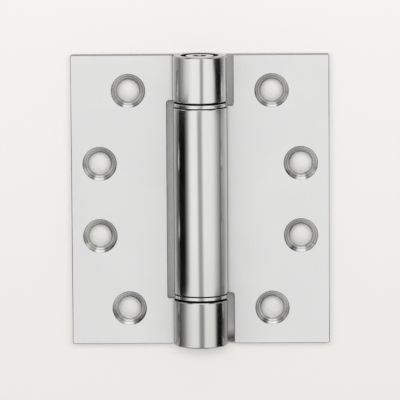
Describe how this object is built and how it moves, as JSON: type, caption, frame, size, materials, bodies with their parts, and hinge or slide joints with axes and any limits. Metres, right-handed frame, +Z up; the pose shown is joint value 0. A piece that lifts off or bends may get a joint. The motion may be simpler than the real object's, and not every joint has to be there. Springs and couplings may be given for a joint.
{
  "type": "spring hinge",
  "caption": "Single-action spring hinge for a door: two flat steel leaves with staggered countersunk holes, rolled round a tall barrel that holds a torsion spring and its adjusting spindle.",
  "frame": {"origin": "middle of the pin axis, which is also the centre of the hinge's box when it lies open flat", "axes": "+Z up along the pin axis towards the adjusting spindle, +X from the frame leaf to the door leaf, +Y towards the backs of the leaves"},
  "size_m": [0.0884, 0.0183, 0.1],
  "materials": {
    "leaf_steel": "stainless steel sheet, satin faces and a polished barrel",
    "bush_steel": "turned and polished stainless steel",
    "turned_steel": "turned steel, bright zinc plated",
    "spring_steel": "oil-tempered spring wire"
  },
  "bodies": {
    "frame": {"frame_leaf": "leaf_steel", "retaining_ring": "spring_steel", "pivot_stud": "turned_steel", "stud_pin": "turned_steel"},
    "door": {"door_leaf": "leaf_steel", "upper_bush": "bush_steel", "lower_bush": "bush_steel", "spring_anchor": "turned_steel", "anchor_pin": "turned_steel", "torsion_spring": "spring_steel"},
    "adjuster": {"adjusting_spindle": "turned_steel", "spring_collar": "turned_steel"}
  },
  "joints": [
    {"name": "leaf_swing", "type": "hinge", "parent": "frame", "child": "door", "pos_m": [0, 0, 0], "axis": [0, 0, -1], "range_deg": [0, 180], "stiffness_Nm_per_rad": 0.35, "deforming": ["torsion_spring"]},
    {"name": "tension_adjust", "type": "hinge", "parent": "frame", "child": "adjuster", "pos_m": [0, 0, 0.04], "axis": [0, 0, -1], "range_deg": [0, 270], "deforming": ["torsion_spring"]}
  ]
}
